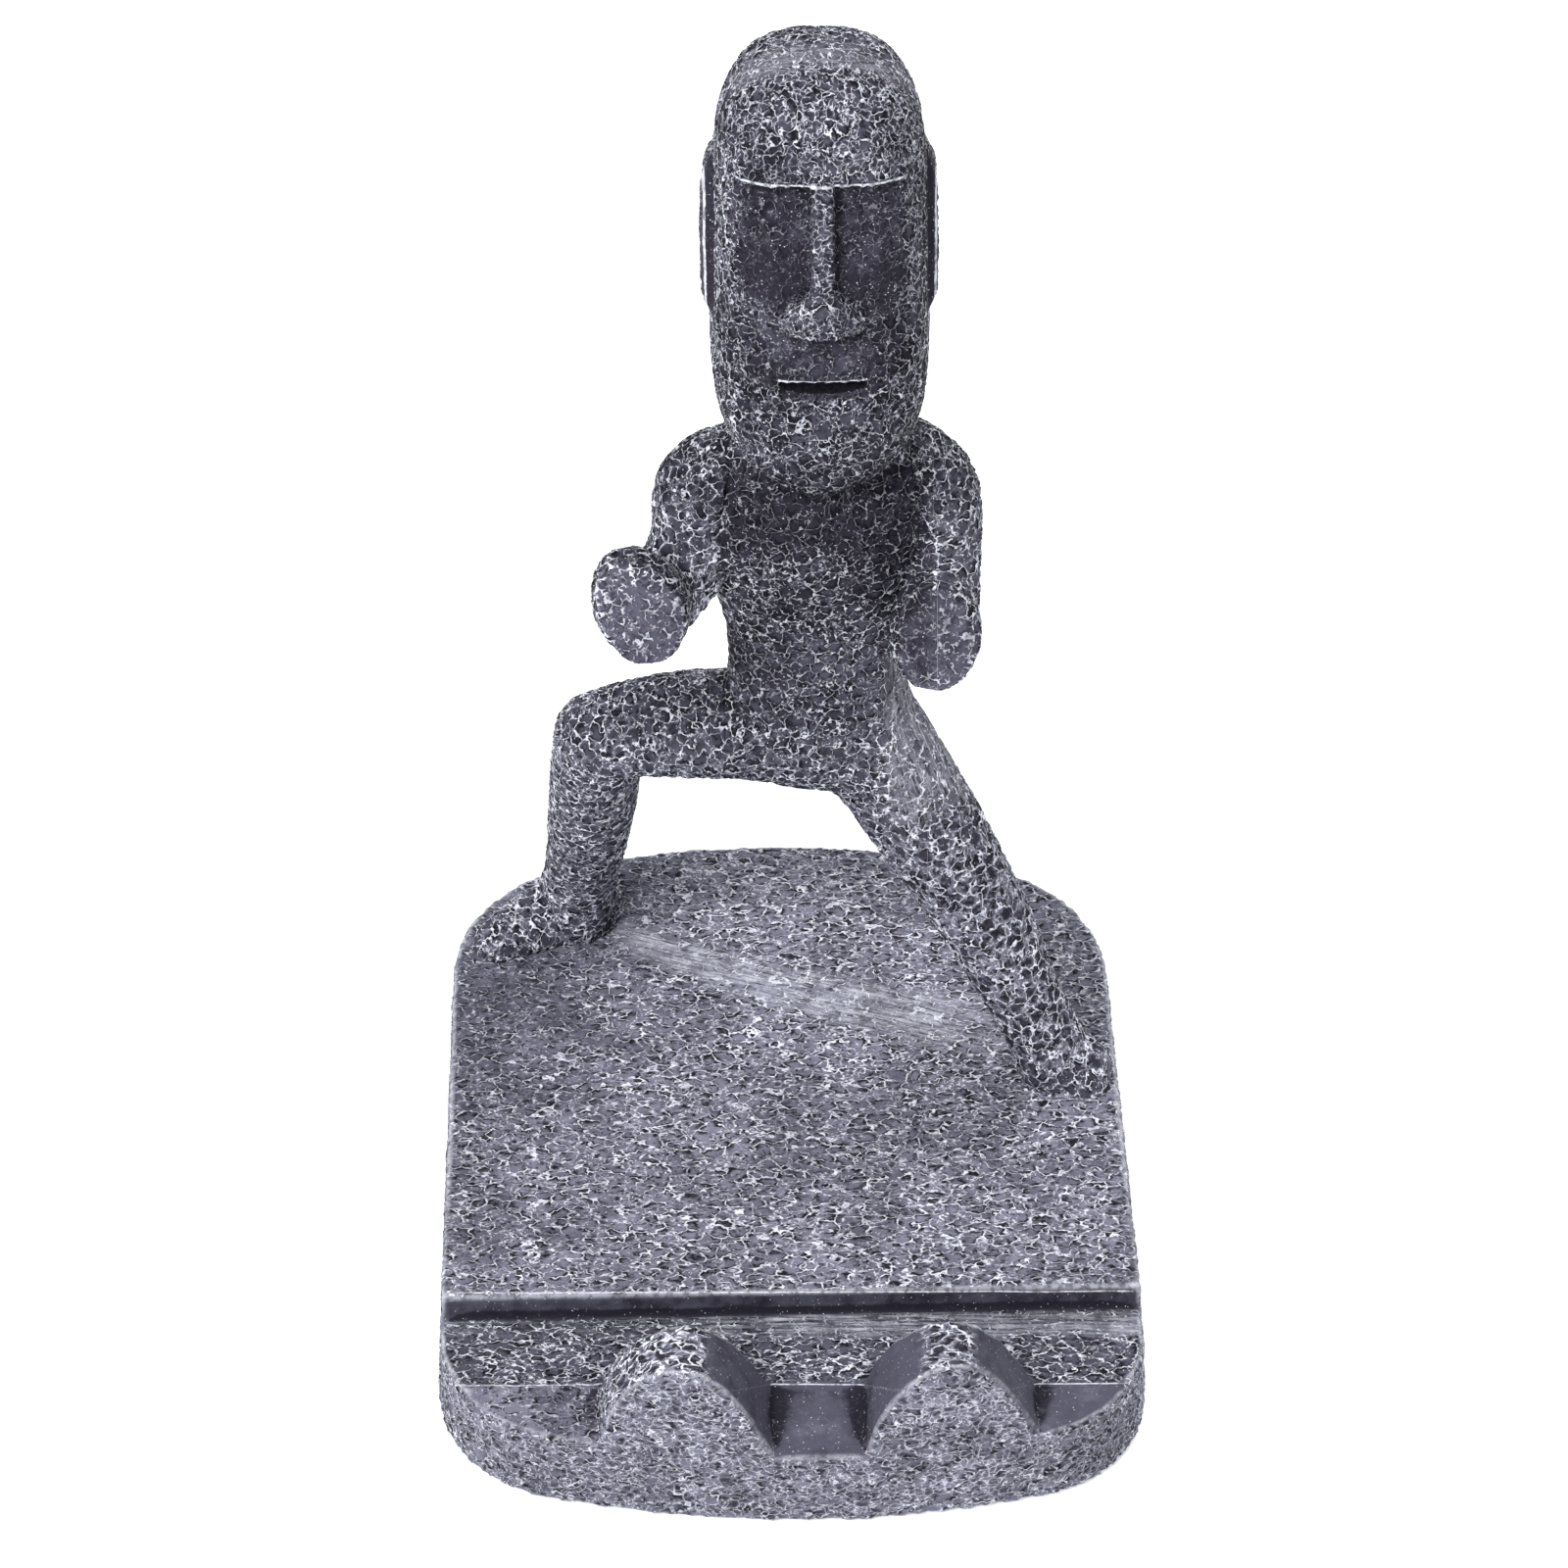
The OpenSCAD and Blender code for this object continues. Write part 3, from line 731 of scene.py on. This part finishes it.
def parted(mesh, names):
    """One closed mesh for each CAD node, cut out of the whole skin."""
    whole = bmesh.new()
    whole.from_mesh(mesh)
    rest = whole.verts.layers.float_vector["rest"]
    centres = [sum((v[rest] for v in f.verts), Vector()) / len(f.verts) for f in whole.faces]
    owner = nearest_node(np.array(centres) * MM, names)
    pieces = {}
    for i, name in enumerate(names):
        bm = whole.copy()
        others = [f for f, o in zip(bm.faces, owner) if o != i]
        bmesh.ops.delete(bm, geom=others, context="FACES")
        rim = [e for e in bm.edges if e.is_boundary]
        caps = bmesh.ops.holes_fill(bm, edges=rim, sides=0)["faces"]
        bmesh.ops.triangulate(bm, faces=caps)
        bmesh.ops.recalc_face_normals(bm, faces=bm.faces)
        pieces[name] = bpy.data.meshes.new(name)
        bm.to_mesh(pieces[name])
        bm.free()
    whole.free()
    return pieces


# ---- Materials ----

def new_material(name):
    material = bpy.data.materials.new(name)
    material.use_nodes = True
    t = Tree(material.node_tree)
    return material, t, material.node_tree.nodes["Principled BSDF"]


def attribute(t, name):
    return t.node("ShaderNodeAttribute", attribute_name=name)


def in_millimetres(t):
    return t.vector_math("SCALE", t.node("ShaderNodeTexCoord").outputs["Object"], scale=1 / MM)


def add_bump(t, shader, height, strength, distance):
    bump = t.node("ShaderNodeBump")
    bump.inputs["Strength"].default_value = strength
    bump.inputs["Distance"].default_value = distance
    t.put(bump.inputs["Height"], height)
    t.put(shader.inputs["Normal"], bump.outputs["Normal"])


def dark_specks(t, rest, calm):
    specks = t.ramp(t.cells(rest, 1.6, "F1"), 0.12, 0.24, 1.0, 0.0)
    here_and_there = t.ramp(t.noise(rest, 1.3, 1.0)[0], 0.5, 0.58)
    return t.product(specks, here_and_there, t.ramp(calm, 0.2, 0.9, 0.9, 0.15))


def light_specks(t, rest):
    specks = t.ramp(t.cells(t.moved(rest, (5.0, 50.0, 8.0)), 2.0, "F1"), 0.06, 0.2, 1.0, 0.0)
    here_and_there = t.ramp(t.noise(rest, 1.4, 1.0)[0], 0.46, 0.56, 0.0, 0.8)
    return t.product(specks, here_and_there)


def smeared_paint(t, rest):
    """Long thin streaks along the smear."""
    amount, along, across = t.split(attribute(t, "smear").outputs["Vector"])
    stretched = t.node("ShaderNodeCombineXYZ")
    t.put(stretched.inputs[0], t.product(along, 0.14))
    t.put(stretched.inputs[1], t.product(across, 2.4))
    streaks = t.ramp(t.noise(stretched.outputs[0], 1.0, 4.0, 0.65)[0], 0.38, 0.66)
    gaps = t.ramp(t.noise(rest, 0.4, 3.0, 0.6)[0], 0.35, 0.6, 0.3, 1.0)
    return t.product(streaks, gaps, t.product(amount, 0.6))


def painted_lines(t, rest, edge_break):
    """Thin bright lines along the three painted edges."""
    lines = t.split(t.vector_math("ABSOLUTE", attribute(t, "line").outputs["Vector"]))
    nearest = t.math("MINIMUM", t.math("MINIMUM", lines[0], lines[1]), lines[2])
    waver = t.product(t.noise(rest, 1.5, 2.0)[0], 0.14)
    return t.product(t.ramp(t.total(nearest, waver), 0.13, 0.26, 1.0, 0.0), edge_break, 0.75)


def stone_material(name, base_lift):
    """Dark slate with painted shade and painted shadow, under a light drybrush that catches crests,
    edges and smears.
    """
    material, t, shader = new_material(name)
    rest = attribute(t, "rest").outputs["Vector"]
    cell = attribute(t, "cell").outputs["Vector"]
    fine = attribute(t, "fine").outputs["Fac"]
    porous = attribute(t, "porous").outputs["Fac"]
    calm, brush, shade = t.split(attribute(t, "paint").outputs["Vector"])
    edge, recess, _ = t.split(attribute(t, "form").outputs["Vector"])
    # crest is light paint; hollow is painted shadow around the crests and in small pits
    crest, hollow, inward = crests(t, cell, calm, fine, brush)
    patch = t.noise(rest, 0.1, 3.0, 0.55)[0]
    wash = t.noise(rest, 0.5, 4.0, 0.65)[0]

    # Ground: slate that the brush has greyed in patches, darker with painted shade in recesses, under
    # parts and on shadowed faces, and with darker paint in places
    # The deepest painted shade, in the mouth's cut
    black_shade = t.ramp(shade, 1.05, 1.2)
    # Painted shade deepens in recesses, like a contact shadow
    shade = t.total(shade, t.ramp(recess, 0.03, 0.4, 0.0, 0.9))
    lift = t.total(t.ramp(wash, 0.3, 0.7, -0.15, 0.2), t.ramp(patch, 0.3, 0.7, -0.15, 0.2), base_lift)
    lift = t.math("SUBTRACT", lift, t.product(shade, 0.8))
    ground = t.mix(t.ramp(lift, -0.6, 0.1), DARK, SLATE)
    ground = t.mix(t.ramp(lift, 0.1, 0.9), ground, MIDDLE)

    # Broad walls of porous places, painted shadow in their pits, dark specks, and the deepest painted
    # shade, in the mouth's cut
    broad_wall = t.product(t.ramp(inward, 0.1, 0.24, 1.0, 0.0), porous, 0.6)
    ground = t.mix(broad_wall, ground, MIDDLE)
    pit_shadow = t.product(t.ramp(inward, 0.18, 0.32), t.ramp(wash, 0.35, 0.5), porous, 0.85)
    hollow = t.largest(hollow, dark_specks(t, rest, calm), pit_shadow, black_shade)
    ground = t.mix(t.product(hollow, 0.96), ground, PIT_SHADOW)

    # Light paint
    amount = t.product(t.ramp(brush, 0.0, 0.8, 0.2, 1.0), t.ramp(patch, 0.3, 0.7, 0.75, 1.2))
    on_crest = t.math("MULTIPLY", crest, amount, clamp=True)
    edge_break = t.ramp(t.noise(rest, 1.1, 3.0)[0], 0.35, 0.55, 0.3, 1.0)
    on_edge = t.product(t.ramp(edge, 0.05, 0.14), edge_break, t.ramp(brush, 0.0, 0.8, 0.0, 0.75))
    light = t.largest(on_crest, on_edge, light_specks(t, rest), smeared_paint(t, rest))
    light = t.math("MAXIMUM", light, painted_lines(t, rest, edge_break), clamp=True)
    light = t.product(light, t.math("SUBTRACT", 1.0, black_shade))
    t.put(shader.inputs["Base Color"], t.mix(light, ground, LIGHT))
    t.put(shader.inputs["Roughness"], t.ramp(light, 0.0, 1.0, 0.62, 0.85))
    shader.inputs["Specular IOR Level"].default_value = 0.05

    grain = t.product(t.noise(rest, 4.0, 3.0)[0], 0.07)
    height = t.math("SUBTRACT", t.total(t.product(crest, 0.13), grain), t.product(hollow, 0.1))
    add_bump(t, shader, height, 1.0, MM)
    return material


def rubber_material():
    material, t, shader = new_material("pad_rubber")
    mottle = t.noise(in_millimetres(t), 2.2, 4.0)[0]
    colour = t.mix(mottle, (0.012, 0.012, 0.013, 1), (0.035, 0.035, 0.037, 1))
    t.put(shader.inputs["Base Color"], colour)
    t.put(shader.inputs["Roughness"], t.ramp(mottle, 0.3, 0.7, 0.75, 0.92))
    add_bump(t, shader, mottle, 0.4, 0.1 * MM)
    return material


def steel_material():
    """Steel rod with fine marks along its length."""
    material, t, shader = new_material("pin_steel")
    stretched = t.vector_math("MULTIPLY", in_millimetres(t), (6.0, 6.0, 0.4))
    drawn = t.noise(stretched, 2.0, 4.0)[0]
    t.put(shader.inputs["Base Color"], t.mix(drawn, (0.42, 0.42, 0.44, 1), (0.62, 0.62, 0.64, 1)))
    shader.inputs["Metallic"].default_value = 1.0
    t.put(shader.inputs["Roughness"], t.ramp(drawn, 0.3, 0.7, 0.28, 0.45))
    add_bump(t, shader, drawn, 0.3, 0.05 * MM)
    return material


# ---- Pieces ----

def add_piece(name, mesh, material, node):
    for polygon in mesh.polygons:
        polygon.use_smooth = True
    mesh.materials.clear()
    mesh.materials.append(material)
    obj = bpy.data.objects.new(name, mesh)
    scene.collection.objects.link(obj)
    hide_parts(node)
    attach(obj, "root")


def pad_mesh(x, y, r, h):
    """Round foot pad with a softened rim and a shallow ring in its sole."""
    turns = 72
    bevel = 0.25 * MM
    depth = 0.15 * MM
    outline = [
        (0, h),
        (r - bevel, h),
        (r, h - bevel),
        (r, bevel),
        (r - 0.3 * bevel, 0.3 * bevel),
        (r - bevel, 0),
        (0.72 * r, 0),
        (0.69 * r, depth),
        (0.62 * r, depth),
        (0.59 * r, 0),
        (0, 0),
    ]
    angles = [2 * math.pi * k / turns for k in range(turns)]
    bm = bmesh.new()
    rings = []
    for reach, z in outline:
        corners = [(x + reach * math.cos(a), y + reach * math.sin(a), z) for a in angles]
        rings.append([bm.verts.new(c) for c in (corners if reach else [(x, y, z)])])
    for a, b in zip(rings, rings[1:]):
        for k in range(turns):
            n = (k + 1) % turns
            corners = [a[k % len(a)], a[n % len(a)], b[n % len(b)], b[k % len(b)]]
            bm.faces.new(list(dict.fromkeys(corners)))
    bmesh.ops.recalc_face_normals(bm, faces=bm.faces)
    mesh = bpy.data.meshes.new("pad")
    bm.to_mesh(mesh)
    bm.free()
    return mesh


def add_pads():
    material = rubber_material()
    low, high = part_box("foot_pads")
    radius = 6 * MM
    for i, x in enumerate((low.x + radius, high.x - radius)):
        for j, y in enumerate((low.y + radius, high.y - radius)):
            mesh = pad_mesh(x, y, radius, high.z - low.z)
            add_piece(f"foot_pad_{2 * i + j + 1}", mesh, material, "foot_pads")


def melted_joints():
    """Soft spots at both shoulders and at the hips."""
    low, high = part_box("shoulder_pins")
    shoulder_y = (low.y + high.y) / 2 / MM
    shoulder_z = 96
    spots = [((x / MM, shoulder_y, shoulder_z), 12, 40) for x in (low.x, high.x)]
    low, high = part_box("hip_pins")
    spots.append((tuple((low + high) / 2 / MM), 20, 60))
    return spots


def add_castings():
    dark = stone_material("dark_stone", -0.1)
    pale = stone_material("drybrushed_stone", 0.5)
    whole = casting_mesh(
        STATUE, STATUE_VOXEL, statue_masks, 3, melted_joints(), front_of_head, carve_face
    )
    for name, mesh in parted(whole, STATUE).items():
        add_piece(name + "_cast", mesh, dark, name)
    slab = casting_mesh(["base_slab"], SLAB_VOXEL, slab_masks, 2)
    plain_underside(slab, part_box("base_slab")[0].z)
    add_piece("base_slab_cast", slab, pale, "base_slab")


def paint_pins():
    steel = steel_material()
    for pin in PINS:
        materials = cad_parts[pin].data.materials
        materials.clear()
        materials.append(steel)


def add_unwraps():
    """Unwraps each casting at its rest position, where its relief doesn't break up the islands."""
    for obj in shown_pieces():
        mesh = obj.data
        if "rest" not in mesh.attributes:
            continue
        rest = np.empty(len(mesh.vertices) * 3, np.float32)
        mesh.attributes["rest"].data.foreach_get("vector", rest)
        raised = positions(mesh)
        set_positions(mesh, rest.reshape(-1, 3) * MM)
        mesh.uv_layers.new(name="OFBake")
        bpy.context.view_layer.objects.active = obj
        obj.select_set(True)
        bpy.ops.object.mode_set(mode="EDIT")
        bpy.ops.mesh.select_all(action="SELECT")
        bpy.ops.uv.smart_project(angle_limit=1.15, island_margin=0.003)
        bpy.ops.object.mode_set(mode="OBJECT")
        obj.select_set(False)
        set_positions(mesh, raised)


# ---- Studio ----

def add_floor():
    material, t, shader = new_material("pale_floor")
    at = t.node("ShaderNodeTexCoord").outputs["Object"]
    tone = t.noise(at, 3.0, 2.0)[0]
    t.put(shader.inputs["Base Color"], t.mix(tone, (0.86, 0.86, 0.87, 1), (0.9, 0.9, 0.9, 1)))
    shader.inputs["Roughness"].default_value = 0.9
    shader.inputs["Emission Color"].default_value = (1, 1, 1, 1)
    shader.inputs["Emission Strength"].default_value = 0.5
    mesh = bpy.data.meshes.new("floor")
    reach = 6.0
    corners = [(-reach, -reach, 0), (reach, -reach, 0), (reach, reach, 0), (-reach, reach, 0)]
    mesh.from_pydata(corners, [], [(0, 1, 2, 3)])
    mesh.materials.append(material)
    floor = bpy.data.objects.new("floor", mesh)
    scene.collection.objects.link(floor)
    floor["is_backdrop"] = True


def add_light(name, place, size, watts):
    """Square soft light aimed at the middle of the object."""
    data = bpy.data.lights.new(name, "AREA")
    data.size = size
    data.energy = watts
    light = bpy.data.objects.new(name, data)
    light.location = place
    aim = Vector((0, 0, 0.07)) - light.location
    light.rotation_euler = aim.to_track_quat("-Z", "Y").to_euler()
    scene.collection.objects.link(light)


def add_studio():
    add_floor()
    world = bpy.data.worlds.new("studio")
    world.use_nodes = True
    background = world.node_tree.nodes["Background"]
    background.inputs["Color"].default_value = (1, 1, 1, 1)
    background.inputs["Strength"].default_value = 0.4
    scene.world = world
    add_light("key", (-0.45, -0.6, 0.9), 0.5, 14)
    add_light("back", (0.5, 0.7, 0.7), 0.5, 5)
    scene.view_settings.view_transform = "Standard"


def add_camera():
    azimuth = math.radians(VIEW_AZIMUTH)
    elevation = math.radians(VIEW_ELEVATION)
    flat = math.cos(elevation)
    back = Vector((math.sin(azimuth) * flat, -math.cos(azimuth) * flat, math.sin(elevation)))
    data = bpy.data.cameras.new("camera")
    data.lens = LENS_MM
    data.sensor_width = 36
    data.clip_start = 0.01
    camera = bpy.data.objects.new("camera", data)
    camera.location = Vector(LOOK_AT) + back * VIEW_DISTANCE
    camera.rotation_euler = (-back).to_track_quat("-Z", "Y").to_euler()
    scene.collection.objects.link(camera)
    scene.camera = camera


add_camera()
add_castings()
add_pads()
paint_pins()
add_studio()
add_unwraps()
